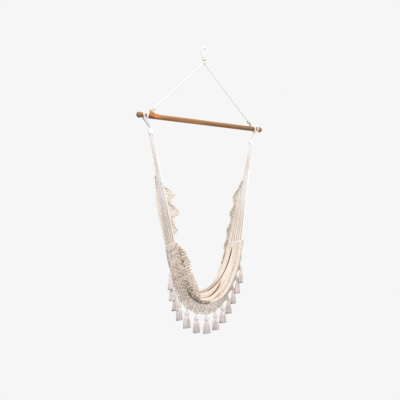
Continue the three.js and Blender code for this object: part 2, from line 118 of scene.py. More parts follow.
def smooth_noise(x, seed):
    """A sum of three sines with seeded rates and phases, about -1 to 1."""
    draw = np.random.default_rng(seed)
    total = np.zeros_like(np.asarray(x, float))
    for k in range(3):
        rate = 1.7 ** k
        total = total + np.sin(x * rate * draw.uniform(0.7, 1.3) + draw.uniform(0, 6.28)) / rate
    return total / 2


def run_length(line):
    """The distance along a line to each of its points."""
    return np.concatenate([[0], np.cumsum(norm(np.diff(line, axis=0), axis=1))])


def read_at(places, known, rows):
    """Rows of three numbers, known at some places, read at others."""
    return np.stack([np.interp(places, known, rows[:, k]) for k in range(3)], axis=-1)


def turned(angle, side, other):
    """Directions at the given angles in the plane of two directions."""
    return side * np.cos(angle)[:, None] + other * np.sin(angle)[:, None]


def pairs(count):
    """Each number below count with the next one round."""
    return [(k, (k + 1) % count) for k in range(count)]


def resample(line, spacing):
    s = run_length(line)
    count = max(3, int(s[-1] / spacing) + 1)
    return read_at(np.linspace(0, s[-1], count), s, line)


class Path:
    """A centripetal Catmull-Rom curve, as the CAD part draws it, walked by arc length."""

    def __init__(self, points, per_span=40):
        p = np.array(points, float)
        self.knots = p
        ext = np.vstack([2 * p[0] - p[1], p, 2 * p[-1] - p[-2]])
        t = np.linspace(0, 1, per_span, endpoint=False)[:, None]
        parts = []
        for i in range(len(p) - 1):
            p0, p1, p2, p3 = ext[i:i + 4]
            d0, d1, d2 = (norm(b - a) ** 0.5 for a, b in ((p0, p1), (p1, p2), (p2, p3)))
            m1 = ((p1 - p0) / d0 - (p2 - p0) / (d0 + d1) + (p2 - p1) / d1) * d1
            m2 = ((p2 - p1) / d1 - (p3 - p1) / (d1 + d2) + (p3 - p2) / d2) * d1
            square = (-3 * p1 + 3 * p2 - 2 * m1 - m2) * t**2
            parts.append(p1 + m1 * t + square + (2 * p1 - 2 * p2 + m1 + m2) * t**3)
        self.line = np.vstack(parts + [p[-1:]])
        s = run_length(self.line)
        self.length = s[-1]
        self.s = s / s[-1]

    def at(self, u):
        return read_at(np.clip(u, 0, 1), self.s, self.line)

    def tangent(self, u, step=0.002):
        return units(self.at(np.asarray(u) + step) - self.at(np.asarray(u) - step))


def frames_along(line):
    """Tangents and two cross directions that don't twist, at each point of a line."""
    t = np.gradient(line, axis=0)
    t /= norm(t, axis=1, keepdims=True) + 1e-12
    start = np.cross(t[0], [0, 0, 1.0])
    if norm(start) < 0.1:
        start = np.cross(t[0], [0, 1.0, 0])
    n = [unit(start)]
    for a, b in zip(t[:-1], t[1:]):
        axis = np.cross(a, b)
        size = norm(axis)
        v = n[-1]
        if size > 1e-9:
            axis = axis / size
            angle = math.atan2(size, float(a @ b))
            v = (v * math.cos(angle) + np.cross(axis, v) * math.sin(angle)
                 + axis * (axis @ v) * (1 - math.cos(angle)))
        n.append(unit(v - b * (v @ b)))
    n = np.array(n)
    return t, n, np.cross(t, n)


def placed(name, data, material, body, replaced):
    """Puts a mesh or a curve in the scene as a piece of a body."""
    piece = bpy.data.objects.new(name, data)
    scene.collection.objects.link(piece)
    data.materials.append(material)
    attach(piece, body)
    if replaced:
        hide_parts(*replaced)
    return piece


class Build:
    """Collects points and faces of one object; each point has a tone that its material reads."""

    def __init__(self):
        self.v, self.f, self.tone = [], [], []
        self.uv = None
        self.count = 0

    def add(self, verts, faces, tone=None):
        verts = np.asarray(verts, float)
        self.v.append(verts)
        self.f.extend([tuple(int(i) + self.count for i in face) for face in faces])
        tone = rng.uniform(0, 1) if tone is None else tone
        self.tone.append(np.array(np.broadcast_to(np.asarray(tone, float).ravel(), len(verts))))
        self.count += len(verts)

    def tube(self, line, radius, sides=6, closed=False, tone=None):
        line = np.asarray(line, float)
        count = len(line)
        radius = np.broadcast_to(np.asarray(radius, float), (count,))
        if closed:
            wrapped = np.vstack([line[-2:], line, line[:2]])
            t, n, b = (a[2:-2] for a in frames_along(wrapped))
        else:
            t, n, b = frames_along(line)
        angles = np.arange(sides) * TURN / sides
        ring = turned(angles, n[:, None], b[:, None])
        points = line[:, None, :] + ring * radius[:, None, None]
        shift = 0
        if closed:
            misses = [norm(np.roll(points[0], -k, axis=0) - points[-1], axis=1).sum()
                      for k in range(sides)]
            shift = int(np.argmin(misses))
        faces = []
        for i in range(count if closed else count - 1):
            j = (i + 1) % count
            turn = 0 if j else shift
            for k, m in pairs(sides):
                faces.append((i * sides + k, i * sides + m, j * sides + (m + turn) % sides,
                              j * sides + (k + turn) % sides))
        if not closed:
            faces.append(tuple(range(sides - 1, -1, -1)))
            faces.append(tuple((count - 1) * sides + k for k in range(sides)))
        self.add(points.reshape(-1, 3), faces, tone)

    def sheet(self, points, thickness, uv=None, tone=0.5):
        """A closed thin sheet on a grid of points [i, j, xyz]."""
        ni, nj = points.shape[:2]
        n = np.cross(np.gradient(points, axis=0), np.gradient(points, axis=1))
        n /= norm(n, axis=-1, keepdims=True) + 1e-12
        top, low = points + n * thickness / 2, points - n * thickness / 2
        size = ni * nj
        at = np.arange(size).reshape(ni, nj)
        faces = []
        for i in range(ni - 1):
            for j in range(nj - 1):
                cell = (at[i, j], at[i + 1, j], at[i + 1, j + 1], at[i, j + 1])
                faces += [cell, tuple(size + k for k in cell[::-1])]
        for rim, way in ((at[:, 0], -1), (at[:, -1], 1), (at[0], 1), (at[-1], -1)):
            for a, b in zip(rim[:-1], rim[1:]):
                faces.append((a, b, size + b, size + a)[::way])
        if uv is not None:
            self.uv = np.vstack([uv.reshape(-1, 2)] * 2)
        self.add(np.vstack([top.reshape(-1, 3), low.reshape(-1, 3)]), faces, tone)

    def spin(self, profile, centre, axis, sides, tone=0.5):
        """A turned body: profile is (radius, height along the axis) from axis to axis."""
        axis = unit(np.asarray(axis, float))
        side = unit(np.cross(axis, [0, 1.0, 0]))
        angles = np.arange(sides) * TURN / sides
        ring = turned(angles, side[None], np.cross(axis, side)[None])
        inner = profile[1:-1]
        rows = len(inner)
        verts = [np.asarray(centre) + ring * r + axis * h for r, h in inner]
        verts.append([np.asarray(centre) + axis * profile[k][1] for k in (0, -1)])
        first, last, foot = rows * sides, rows * sides + 1, (rows - 1) * sides
        faces = [(i + k, i + sides + k, i + sides + m, i + m)
                 for i in range(0, foot, sides) for k, m in pairs(sides)]
        for k, m in pairs(sides):
            faces += [(first, k, m), (last, foot + m, foot + k)]
        self.add(np.vstack(verts), faces, tone)

    def make(self, name, material, body, replaced=()):
        mesh = bpy.data.meshes.new(name)
        mesh.from_pydata(np.vstack(self.v).tolist(), [], self.f)
        if self.uv is not None:
            layer = mesh.uv_layers.new(name="UVMap")
            index = np.zeros(len(mesh.loops), dtype=np.int64)
            mesh.loops.foreach_get("vertex_index", index)
            layer.data.foreach_set("uv", self.uv[index].ravel())
        tone = mesh.attributes.new("tone", "FLOAT", "POINT")
        tone.data.foreach_set("value", np.concatenate(self.tone))
        mesh.polygons.foreach_set("use_smooth", [True] * len(mesh.polygons))
        mesh.update()
        return placed(name, mesh, material, body, replaced)


def laid_rope(build, line, radius, strands=3, pitch=None, sides=8, lay=1):
    """A twisted rope along a line: strands that wind round each other."""
    pitch = pitch or radius * 6.5
    line = resample(line, pitch / 10)
    t, n, b = frames_along(line)
    s = run_length(line)
    for k in range(strands):
        angle = lay * TURN * s / pitch + TURN * k / strands
        build.tube(line + radius * 0.5 * turned(angle, n, b), radius * 0.53, sides, tone=0.35 + 0.15 * k)


def coil(build, centre, axis, radius, length, turns, thread, flat=1.0, sides=6, across=None):
    """A thread wound round an axis, turn beside turn."""
    axis = unit(np.asarray(axis, float))
    side = unit(np.cross(axis, [0, 1.0, 0])) if across is None else across
    a = np.linspace(0, TURN * turns, int(turns * 18) + 1)
    h = (a / a[-1] - 0.5) * (length - 2 * thread)
    line = np.asarray(centre) + axis * h[:, None] + radius * turned(a, side, flat * np.cross(axis, side))
    build.tube(line, thread, sides, tone=0.5)


def core(build, centre, axis, radius, half, tone=0.5):
    """The plain inside of a binding."""
    build.spin([(0, half), (radius, half), (radius, -half), (0, -half)], centre, axis, 24, tone)


# Curves shared with part.mjs: the edges of the cloth and the feet of the lace bands
def edge_curve(xs, ys, drops, x, corner_y, far_y, corner, dip):
    """A U that is alike on both sides, from shares of its half width, its depth and its drop."""
    right = [(x * a, corner_y + (far_y - corner_y) * b, BAR_Z - corner - (dip - corner) * c)
             for a, b, c in zip(xs, ys, drops)]
    return Path([(-x, y, z) for x, y, z in right] + right[-2::-1])


REAR = edge_curve([1, 0.95, 0.877, 0.795, 0.713, 0.64, 0.522, 0.331, 0.126, 0],
                  [0, 0.275, 0.6, 0.8, 0.95, 1, 0.9, 0.7, 0.55, 0.5],
                  [0, 0.159, 0.313, 0.437, 0.58, 0.704, 0.821, 0.932, 0.991, 1],
                  REAR_X, REAR_Y, 0.074, REAR_DROP, 1.127)
FRONT = edge_curve([1, 0.953, 0.86, 0.698, 0.504, 0.271, 0],
                   [0, 0.06, 0.22, 0.44, 0.67, 0.89, 1],
                   [0, 0.16, 0.43, 0.688, 0.867, 0.966, 1],
                   FRONT_X, FRONT_Y, -0.046, FRONT_DROP, 1.197)
FRONT_FOOT = edge_curve([0.96, 0.985, 1, 0.93, 0.83, 0.7, 0.515, 0.274, 0],
                        [-0.8, -0.25, 0.055, 0.47, 0.74, 1, 0.61, 0.33, 0.2],
                        [0.05, 0.18, 0.356, 0.507, 0.65, 0.787, 0.9, 0.975, 1],
                        0.270, -0.036, 0, FRONT_DROP, 1.273)
# Here the lace leans further in at its upper ends than the CAD's does
REAR_FOOT = edge_curve([0.82, 0.60, 0.558, 0.575, 0.588, 0.562, 0.48, 0.317, 0.126, 0],
                       [-0.056, -0.634, -0.437, 0.169, 0.732, 0.972, 1, 0.9, 0.817, 0.803],
                       [0.017, 0.212, 0.346, 0.463, 0.607, 0.719, 0.83, 0.932, 0.985, 0.993],
                       REAR_X, REAR_Y, 0.105, REAR_DROP, 1.231)


def hem_path(side, overhang=0.0):
    """The side hem, from the rear edge to the front corner of the cloth."""
    rear = REAR.at(REAR_HEM_SHARE if side < 0 else 1 - REAR_HEM_SHARE)
    front = vec(side * FRONT_X, FRONT_Y, BAR_Z - FRONT_DROP)
    along = unit(front - rear)
    middle = (rear + front) / 2 + vec(side * HEM_R, 0, 0)
    if not overhang:
        return Path([rear, middle, front])
    return Path([rear - along * overhang, rear, middle, front, front + along * overhang])


# Camera, at the photograph's viewing angle
cam_data = bpy.data.cameras.new("camera")
cam = bpy.data.objects.new("camera", cam_data)
scene.collection.objects.link(cam)
scene.camera = cam
cam_data.lens = 40.41
cam_data.sensor_width = 36
cam.location = (-1.590, -2.544, -1.1257)
cam.rotation_euler = (math.radians(91.9135), 0, math.radians(-31.463))

# Materials
WHITE = (1, 1, 1)
HALF_CLOSED_SHADE = (0.74, 0.65, 0.58)
THREAD_GAP_SHADE = (0.25, 0.2, 0.15)
THREAD_REACH = 0.008
FIBRE_SCALE = 2600
FIBRE_DEPTH = 0.0004
COTTON = {"Roughness": 0.95, "Specular IOR Level": 0.15, "Sheen Weight": 0.25}


def add_node(tree, kind, inputs=None, **settings):
    """A new node; each input is a value or the socket that feeds it."""
    node = tree.nodes.new("ShaderNode" + kind)
    for key, value in settings.items():
        setattr(node, key, value)
    for key, value in (inputs or {}).items():
        if isinstance(value, bpy.types.NodeSocket):
            tree.links.new(value, node.inputs[key])
        else:
            node.inputs[key].default_value = value
    return node


class Look:
    """A material: a Principled shader and the nodes that feed it."""

    def __init__(self, name, inputs):
        self.material = bpy.data.materials.new(name)
        self.material.use_nodes = True
        self.tree = self.material.node_tree
        self.tree.nodes.clear()
        self.shader = self.node("BsdfPrincipled", inputs)
        self.node("OutputMaterial", {0: self.shader.outputs[0]})
        self.place = self.node("TexCoord").outputs["Object"]

    def node(self, kind, inputs=None, **settings):
        return add_node(self.tree, kind, inputs, **settings)

    def tone(self):
        return self.node("Attribute", attribute_name="tone").outputs["Fac"]

    def noise(self, scale, detail, place=None):
        vector = self.place if place is None else place
        return self.node("TexNoise", {"Scale": scale, "Detail": detail, "Vector": vector}).outputs["Fac"]

    def stretched(self, scale):
        return self.node("Mapping", {"Scale": scale, "Vector": self.place}).outputs[0]

    def maths(self, operation, a, b):
        return self.node("Math", {0: a, 1: b}, operation=operation).outputs[0]

    def blend(self, *parts):
        """The sum of (socket, weight) pairs."""
        total = None
        for socket, weight in parts:
            share = self.maths("MULTIPLY", socket, weight)
            total = share if total is None else self.maths("ADD", total, share)
        return total

    def ramp(self, source, *stops):
        node = self.node("ValToRGB", {0: source})
        elements = node.color_ramp.elements
        for element, (position, color) in zip(elements, (stops[0], stops[-1])):
            element.position = position
            element.color = (*color, 1)
        for position, color in stops[1:-1]:
            elements.new(position).color = (*color, 1)
        return node.outputs[0]

    def mixed(self, factor, a, b, way="MIX"):
        return self.node("Mix", {0: factor, 6: a, 7: b}, data_type="RGBA", blend_type=way).outputs[2]

    def tinted(self, color, tint):
        return self.mixed(1, color, tint, "MULTIPLY")

    def shaded(self, color, reach, deep, dark_at=0.1):
        """Painted shade: darkens and browns the colour where folds and threads close over it."""
        closed = self.node("AmbientOcclusion", {"Distance": reach}, samples=8).outputs["AO"]
        stops = (dark_at, deep), (dark_at + 0.32, HALF_CLOSED_SHADE), (0.85, WHITE)
        return self.tinted(color, self.ramp(closed, *stops))

    def finish(self, color, height=None, strength=0.5, distance=FIBRE_DEPTH):
        self.tree.links.new(color, self.shader.inputs["Base Color"])
        if height is not None:
            bump = self.node("Bump", {"Strength": strength, "Distance": distance, "Height": height})
            self.tree.links.new(bump.outputs[0], self.shader.inputs["Normal"])
        return self.material


def yarn(name, dark, light, deep=(0.32, 0.24, 0.18), mottle=None, stops=(0.15, 0.7)):
    """Cotton thread: a tone of its own for each strand, and fine fibres; mottle is painted shade in small
    gaps.
    """
    look = Look(name, COTTON)
    tone = look.blend((look.tone(), 0.4), (look.noise(45, 2), 0.6))
    color = look.ramp(tone, (stops[0], dark), (stops[1], light))
    if mottle:
        # Painted shade: low tones and noise spots darken towards the gap colours.
        color = look.tinted(color, look.ramp(tone, (0.0, THREAD_GAP_SHADE), (0.2, WHITE)))
        color = look.tinted(color, look.ramp(look.noise(150, 1), (0.3, mottle), (0.52, WHITE)))
    return look.finish(look.shaded(color, THREAD_REACH, deep), look.noise(FIBRE_SCALE, 3))


def cord(name, upper, lower, deep=(0.5, 0.4, 0.32)):
    """Cotton cord that is whiter above and darker below, with a tone of its own for each piece; in the shaded
    and edge cords the dark lower colours are painted shade.
    """
    look = Look(name, COTTON)
    height = look.node("SeparateXYZ", {0: look.place}).outputs[2]
    height = look.node("MapRange", {"From Min": -1.16, "From Max": -1.0, "Value": height}).outputs[0]
    own = look.node("ObjectInfo").outputs["Random"]
    tone = look.maths("ADD", look.blend((own, 0.25), (look.noise(45, 2), 0.6)), look.tone())
    ramps = [look.ramp(tone, (0.2, dark), (0.6, light)) for dark, light in (lower, upper)]
    color = look.shaded(look.mixed(height, *ramps), THREAD_REACH, deep)
    return look.finish(color, look.noise(FIBRE_SCALE, 3))


def crochet(name):
    """Open stitches: light yarn with dark gaps of painted shade, more of them where the tone, also painted
    shade, is high.
    """
    look = Look(name, {"Roughness": 0.95, "Specular IOR Level": 0.1})
    stitch = look.maths("ADD", look.noise(220, 1), look.maths("MULTIPLY", look.noise(900, 2), 0.15))
    level = look.maths("SUBTRACT", stitch, look.maths("MULTIPLY", look.tone(), 0.27))
    color = look.ramp(level, (0.2, (0.21, 0.16, 0.11)), (0.42, (0.4, 0.32, 0.235)),
                      (0.56, (0.86, 0.77, 0.68)))
    return look.finish(color, level, 0.7, 0.0012)


def woven(name, dark, light, thread=0.0022):
    """Plain weave in the sheet's own lengthwise and crosswise directions; tone is the painted shade inside a
    fold.
    """
    look = Look(name, {"Roughness": 0.95, "Specular IOR Level": 0.1, "Sheen Weight": 0.3})
    uv = look.node("UVMap", uv_map="UVMap").outputs[0]
    waves = [look.node("TexWave", {"Scale": 1 / thread / 6.283, "Distortion": 0.8, "Detail": 1,
                                   "Detail Scale": 2, "Vector": uv}, bands_direction=direction).outputs["Fac"]
             for direction in ("X", "Y")]
    weave = look.maths("MULTIPLY", *waves)
    mix = look.blend((weave, 0.35), (look.noise(60, 5), 0.8))
    # Painted shade: deep brown inside the folds, after their tone.
    fold = look.ramp(look.tone(), (0.0, WHITE), (0.45, (0.4, 0.27, 0.18)), (0.9, (0.05, 0.02, 0.008)))
    color = look.tinted(look.ramp(mix, (0.2, dark), (0.75, light)), fold)
    fuzz = look.maths("ADD", weave, look.maths("MULTIPLY", look.noise(900, 3), 0.4))
    return look.finish(look.shaded(color, 0.018, (0.2, 0.13, 0.09), 0.2), fuzz, 0.6, 0.0006)


def wood(name):
    """Oiled reddish wood, with its grain and pores drawn out along the bar."""
    look = Look(name, {"Roughness": 0.42, "Specular IOR Level": 0.4})
    pores = look.noise(1.0, 4, look.stretched((22, 700, 700)))
    mix = look.blend((look.noise(1.6, 6, look.stretched((3, 42, 42))), 0.75), (pores, 0.25))
    color = look.ramp(mix, (0.32, (0.15, 0.056, 0.016)), (0.48, (0.3, 0.135, 0.046)),
                      (0.66, (0.44, 0.22, 0.082)))
    return look.finish(color, pores, 0.25, 0.0003)


def leather(name):
    look = Look(name, {"Roughness": 0.5})
    grain = look.node("TexVoronoi", {"Scale": 900, "Vector": look.place}).outputs["Distance"]
    color = look.ramp(look.noise(60, 4), (0.3, (0.42, 0.14, 0.035)), (0.7, (0.6, 0.245, 0.075)))
    return look.finish(color, grain, 0.35)


def brass(name):
    look = Look(name, {"Metallic": 1, "Roughness": 0.38})
    return look.finish(look.ramp(look.noise(400, 4), (0.35, (0.33, 0.19, 0.05)), (0.65, (0.62, 0.42, 0.16))))


ROPE = yarn("white_rope", (0.7, 0.66, 0.61), (0.9, 0.87, 0.84))
CORD = cord("white_cord", ((0.9, 0.86, 0.85), (0.98, 0.96, 0.95)), ((0.88, 0.8, 0.73), (0.98, 0.93, 0.88)),
            deep=(0.7, 0.6, 0.52))
# Painted shade: a darker copy of the white cord, for cords lying in shade between the bundles.
SHADED_CORD = cord("inner_cord", ((0.72, 0.67, 0.66), (0.84, 0.8, 0.78)),
                 ((0.36, 0.27, 0.2), (0.6, 0.48, 0.38)))
CLOTH = woven("cream_cloth", (0.88, 0.77, 0.68), (0.97, 0.9, 0.83))
# Painted shade: the edge cord's dark lower colours are the rear roll in shade low down.
EDGE = cord("edge_cord", ((0.84, 0.8, 0.78), (0.94, 0.92, 0.9)), ((0.42, 0.34, 0.27), (0.9, 0.82, 0.74)))
# Painted shade: the net's thread is darker than the relief's and the rear lace's, for its gaps and the
# cloth's shade over it.
LACE = yarn("lace_thread", (0.72, 0.61, 0.52), (0.92, 0.82, 0.73), deep=(0.68, 0.57, 0.48),
            mottle=(0.66, 0.56, 0.47))
LACE_TOP = yarn("lace_relief", (0.84, 0.75, 0.67), (0.98, 0.91, 0.84), deep=(0.76, 0.66, 0.57),
                mottle=(0.8, 0.7, 0.6))
LACE_REAR = yarn("rear_lace_thread", (0.86, 0.76, 0.66), (0.98, 0.93, 0.87), deep=(0.74, 0.62, 0.52),
                 mottle=(0.8, 0.67, 0.54))
FRILL = crochet("crochet_frill")
# Painted shade: darker copies of the frill yarn for the loops at the frill's root and middle.
FRILL_ROOT_SHADE = yarn("frill_root", (0.25, 0.19, 0.13), (0.88, 0.79, 0.69), stops=(0.36, 0.68))
FRILL_HALF_SHADE = yarn("frill_middle", (0.36, 0.285, 0.21), (0.92, 0.83, 0.74), deep=(0.58, 0.48, 0.39),
                 stops=(0.34, 0.54))
TASSEL = yarn("tassel_yarn", (0.7, 0.63, 0.615), (0.92, 0.87, 0.855), mottle=(0.86, 0.8, 0.78))
# Painted shade: a darker copy of the tassel yarn for the tassels on the right.
TASSEL_SHADE = yarn("tassel_yarn_tan", (0.64, 0.55, 0.5), (0.88, 0.8, 0.76), mottle=(0.86, 0.78, 0.72))
TIE = yarn("tie_thread", (0.68, 0.58, 0.52), (0.86, 0.77, 0.71))
WOOD = wood("oiled_wood")
LEATHER = leather("tan_leather")
BRASS = brass("worn_brass")

# Rope legs
LEG_POINTS = 60
LEG_SINK = 0.001


def leg_line(side):
    """The direction of a leg and the splice where its eye begins."""
    neck = vec(side * ROPE_EYE_X, 0, BAR_Z)
    down = unit(neck - vec(0, 0, KNOT_Z))
    return down, neck - down * EYE_LEN


for word, side in SIDES:
    down, splice = leg_line(side)
    top = vec(0, 0, KNOT_Z) + down * (KNOT_R - LEG_SINK)
    foot = splice + down * ROPE_R
    line = top + (foot - top) * np.linspace(0, 1, LEG_POINTS)[:, None]
    leg = Build()
    laid_rope(leg, line, ROPE_R, lay=side)
    piece = leg.make(f"leg_rope_{word}", ROPE, "frame", [f"rope_leg_{word}"])
    tuple(top)
    float(norm(foot - top))

# Harness cords, which fan out from the whipping to the hem
FAN = 17
BUNDLES = 6
BUNDLE_SHARE = 0.8
CORD_D = 0.0040
CORD_POINTS = 12
CORD_DRAPE = 0.0012
CORD_ROW = 0.0050
CORD_SPREAD = 0.018
CORD_SINK = 0.001


def harness_axes(side):
    """The whipping's top, the way down to the hem, and two directions across it."""
    top = vec(side * (HARNESS_EYE_X - WHIP_INSET), 0, BAR_Z - WHIP_DROP)
    down = unit(hem_path(side).at(0.5) - top)
    across = unit(vec(0, 1, 0) - down * down[1])
    return top, down, across, np.cross(across, down)


def fan_share(i):
    """Places the cords in bundles of about three, with gaps between the bundles."""
    place = i * BUNDLES / FAN
    bundle = math.floor(place)
    return (bundle + 0.5 + BUNDLE_SHARE * (place - bundle - 0.5 + 0.5 * BUNDLES / FAN)) / BUNDLES


def hem_share(i):
    return 0.06 + 0.9 * fan_share(i)


def harness_cord(word, i, start, end, drape):
    curve = bpy.data.curves.new(f"harness_{word}_{i + 1:02d}", "CURVE")
    curve.dimensions = "3D"
    curve.bevel_depth = CORD_D / 2
    curve.bevel_resolution = 2
    spline = curve.splines.new("POLY")
    spline.points.add(CORD_POINTS - 1)
    for point, s in zip(spline.points, np.linspace(0, 1, CORD_POINTS)):
        point.co = (*(start + (end - start) * s + math.sin(math.pi * s) * drape), 1)
    replaced = [f"harness_cord_{word}_{i + 1}"] if i < CAD_CORDS else []
    # Every third cord takes the painted-shade copy of the cord.
    piece = placed(curve.name, curve, SHADED_CORD if i % 3 == 2 else CORD, "seat", replaced)
    float(norm(end - start))


for word, side in SIDES:
    top, down, across, sideways = harness_axes(side)
    hem = hem_path(side)
    for i in range(FAN):
        start = (top + down * (WHIP_LEN * 0.6) + across * CORD_SPREAD * (0.25 - fan_share(i))
                 + sideways * (CORD_ROW * (1, -1, 0)[i % 3]))
        end = hem.at(hem_share(i)) + vec(-side * CORD_SINK, 0, 0)
        drape = CORD_DRAPE * rng.uniform(-1, 1, 2)
        harness_cord(word, i, start, end, across * drape[0] + sideways * drape[1])


# Hanging rope: loop, throat, knot, and the legs' eyes with their seizings
def eye_path(side, x, radius, start, along, run, far_side):
    """Two strands that part from a point, and the turn that they make round the bar's neck."""
    turn = NECK_R + RUNNING_GAP + radius
    neck = vec(side * x, 0, BAR_Z)
    clear = start + along * run
    route = [(start, radius), (clear, radius), ((clear + neck) / 2, 0.6 * (radius + turn))]
    for angle in (-0.1, 0.3, 0.7, 1.1):
        route.append((neck + vec(0, 0, far_side * turn * math.sin(angle)), turn * math.cos(angle)))
    half = [p + vec(0, spread, 0) for p, spread in route]
    other = [p - vec(0, spread, 0) for p, spread in route]
    return Path(half + [neck + vec(0, 0, far_side * turn)] + other[::-1])


strand = ROPE_R + GAP / 2
loop_half = [(strand, 0, -LOOP_LEN), (strand, 0, -0.9 * LOOP_LEN), (0.72 * LOOP_HALF, 0, -0.62 * LOOP_LEN),
             (LOOP_HALF, 0, -0.28 * LOOP_LEN), (0.72 * LOOP_HALF, 0, -0.02 * LOOP_LEN)]
other_half = [(-x, y, z) for x, y, z in loop_half[::-1]]
loop = Build()
laid_rope(loop, Path(loop_half + [(0, 0, ROPE_R)] + other_half).line, ROPE_R)
loop.make("loop_rope", ROPE, "sling_loop", ["hanging_loop"])

THROAT_THREAD = 0.0017
throat = Build()
throat_mid = vec(0, 0, -LOOP_LEN - GAP - THROAT_LEN / 2)
coil(throat, throat_mid, UP, THROAT_R - 0.0018, THROAT_LEN, 6.5, THROAT_THREAD)
core(throat, throat_mid, UP, THROAT_R - 0.003, THROAT_LEN / 2 - 0.0005)
throat.make("throat_binding", ROPE, "throat", ["throat_seizing"])

# The knot is a ball that one strand winds round, three times about and five times up and down
KNOT_CORE_R = 0.0105
KNOT_WRAP_R = 0.0098
KNOT_WRAP_SWELL = 0.0011
KNOT_STRAND_R = 0.0026
KNOT_TURNS = 3
KNOT_BIGHTS = 5
knot = Build()
ball = [(KNOT_CORE_R * math.sin(a), KNOT_CORE_R * math.cos(a)) for a in np.linspace(0.3, 2.84, 9)]
knot.spin([(0, KNOT_CORE_R)] + ball + [(0, -KNOT_CORE_R)], (0, 0, KNOT_Z), UP, 24, tone=0.1)
a = np.linspace(0, TURN, 420, endpoint=False)
swing = np.radians(62) * np.sin(KNOT_BIGHTS * a)
over = KNOT_WRAP_R + KNOT_WRAP_SWELL * np.cos(2 * KNOT_BIGHTS * a + 0.6)
wrap = np.stack([over * np.cos(swing) * np.cos(KNOT_TURNS * a), over * np.cos(swing) * np.sin(KNOT_TURNS * a),
                 KNOT_Z + 1.08 * over * np.sin(swing)], axis=-1)
knot.tube(wrap, KNOT_STRAND_R, 8, closed=True, tone=0.6)
knot.make("leg_knot", ROPE, "knot", ["rope_knot"])

SEIZING_THREAD = 0.0014
for word, side in SIDES:
    down, splice = leg_line(side)
    eye = Build()
    path = eye_path(side, ROPE_EYE_X, ROPE_R * 0.98, splice, down, EYE_SEIZING + ROPE_R, -1)
    laid_rope(eye, path.line, ROPE_R, lay=side)
    eye.make(f"leg_eye_{word}", ROPE, "frame")
    binding = Build()
    middle = splice + down * (ROPE_R / 2 + EYE_SEIZING / 2)
    wide = 2 * ROPE_R + 2 * GAP + SEIZING_THREAD
    coil(binding, middle, down, wide, EYE_SEIZING, 6.5, SEIZING_THREAD, flat=0.66, across=vec(0, 1, 0))
    binding.make(f"leg_binding_{word}", ROPE, "frame", [f"eye_seizing_{word}"])

# Spreader bar, turned: ball, neck, rounded shoulder, and the long middle
neck_angle = math.pi - math.asin(NECK_R / BALL_R)
profile = [(0, BAR_HALF)]
for a in np.linspace(0, neck_angle, 20)[1:]:
    profile.append((BALL_R * math.sin(a), BAR_HALF - BALL_R + BALL_R * math.cos(a)))
profile.append((NECK_R, NECK_OUT - 0.004))
profile.append((NECK_R, NECK_IN + 0.001))
for s in np.linspace(0.1, 1, 8):
    profile.append((NECK_R + (BAR_R - NECK_R) * math.sin(s * math.pi / 2) ** 1.1, NECK_IN - SHOULDER * s))
for x in np.linspace(NECK_IN - SHOULDER - 0.02, 0, 10):
    profile.append((BAR_R, x))
profile = profile + [(r, -x) for r, x in profile[-2::-1]]
bar = Build()
bar.spin(profile, (0, 0, BAR_Z), (1, 0, 0), 64)
bar.make("turned_bar", WOOD, "frame", ["spreader_bar"])

# Leather tab, wrapped round the bar at one end and standing off it at the other, and its tack
TAB_WAVE = 0.0006


def tab_point(u, v):
    radius = BAR_R + GAP + TAB_THICK / 2
    angle = -0.7 + 2.45 * v
    wrapped = vec(0, -radius * math.cos(angle), radius * math.sin(angle))
    flat = vec(0, -radius - TAB_OFF, -TAB_THICK + TAB_RISE * v)
    p = wrapped + (flat - wrapped) * max(0.0, 1 - 1.5 * u) ** 0.7
    p = p * max(1.0, radius / math.hypot(p[1], p[2]))
    return vec(-(NECK_IN - TAB_INSET) + u * TAB_LEN, p[1], BAR_Z + p[2])


tab_grid = np.array([[tab_point(u, v) for v in np.linspace(0, 1, 25)] for u in np.linspace(0, 1, 49)])
tab_grid[..., 1] += TAB_WAVE * np.sin(np.linspace(0, 9, 49))[:, None] * np.linspace(1, 0, 49)[:, None]
tab = Build()
tab.sheet(tab_grid, TAB_THICK * 0.9)
tab.make("tab_leather", LEATHER, "frame", ["leather_tab"])
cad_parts["tab_tack"].data.materials.clear()
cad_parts["tab_tack"].data.materials.append(BRASS)

# Harness: its eyes, its whippings, and the hitches that tie the cords to the hem
EYE_CORDS = 5
EYE_CORD_R = 0.0018
EYE_CORD_ORBIT = 0.0031
WHIP_THREAD = 0.0021
HITCH_R = 0.0013
HITCH_ORBIT = HEM_R + 0.0004
HITCH_STEP = 0.0016


def harness_eye(word, side):
    top, down, across, sideways = harness_axes(side)
    route = eye_path(side, HARNESS_EYE_X, HARNESS_R, top - down * GAP, -down, HARNESS_R, 1).line
    route = resample(route, 0.003)
    t, n, b = frames_along(route)
    eye = Build()
    for k in range(EYE_CORDS):
        a = TURN * k / EYE_CORDS + 0.4
        eye_cord = route + EYE_CORD_ORBIT * (n * math.cos(a) + b * math.sin(a))
        laid_rope(eye, eye_cord, EYE_CORD_R, strands=2, pitch=0.012, sides=5)
    eye.make(f"harness_neck_{word}", CORD, "seat", [f"harness_eye_{word}"])


def whipping(word, side):
    top, down, across, sideways = harness_axes(side)
    middle = top + down * WHIP_LEN / 2
    whip = Build()
    coil(whip, middle, down, WHIP_R - 0.0024, WHIP_LEN, 8.5, WHIP_THREAD, sides=8)
    core(whip, middle, down, WHIP_R - 0.0045, WHIP_LEN / 2 - 0.001, tone=0.2)
    whip.make(f"harness_binding_{word}", CORD, "seat", [f"harness_whipping_{word}"])


